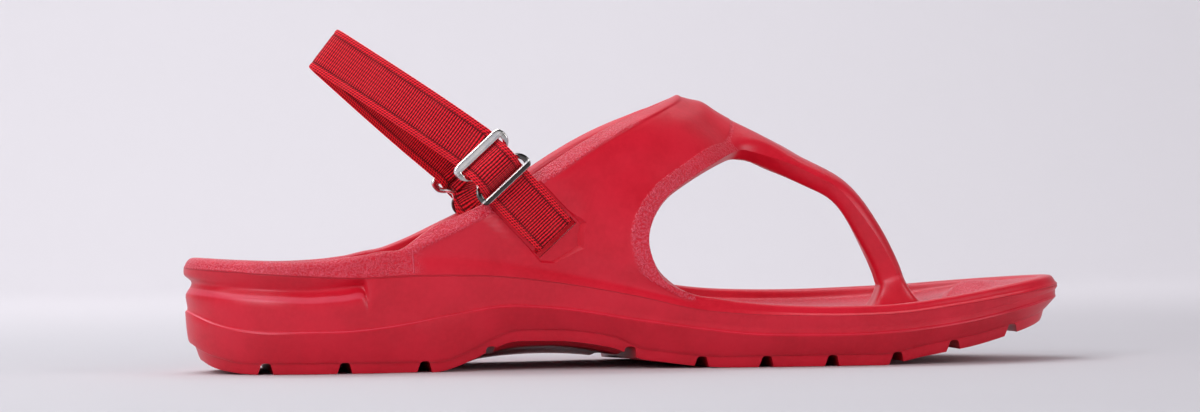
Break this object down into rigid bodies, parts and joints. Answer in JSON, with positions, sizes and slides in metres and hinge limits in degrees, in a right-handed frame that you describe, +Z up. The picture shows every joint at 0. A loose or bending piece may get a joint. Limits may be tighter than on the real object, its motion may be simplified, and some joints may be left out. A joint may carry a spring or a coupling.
{
  "type": "running sandal",
  "caption": "Left thong running sandal: moulded foam body with wings meeting over the instep, a toe strap and an elastic heel strap with slide buckles.",
  "frame": {"origin": "flat spot of the sole under the heel, on the floor", "axes": "+X to the toes, +Y to the outer side of the left foot, +Z up"},
  "size_m": [0.279, 0.0984, 0.1071],
  "materials": {
    "foam": "moulded EVA foam, satin, with a fine leather grain on the rims",
    "webbing": "ribbed elastic webbing with plain edges",
    "buckle": "polished plating"
  },
  "bodies": {
    "root": {"moulded_body": "foam", "heel_strap": "webbing", "slide_buckle_medial": "buckle", "slide_buckle_lateral": "buckle"}
  },
  "joints": []
}
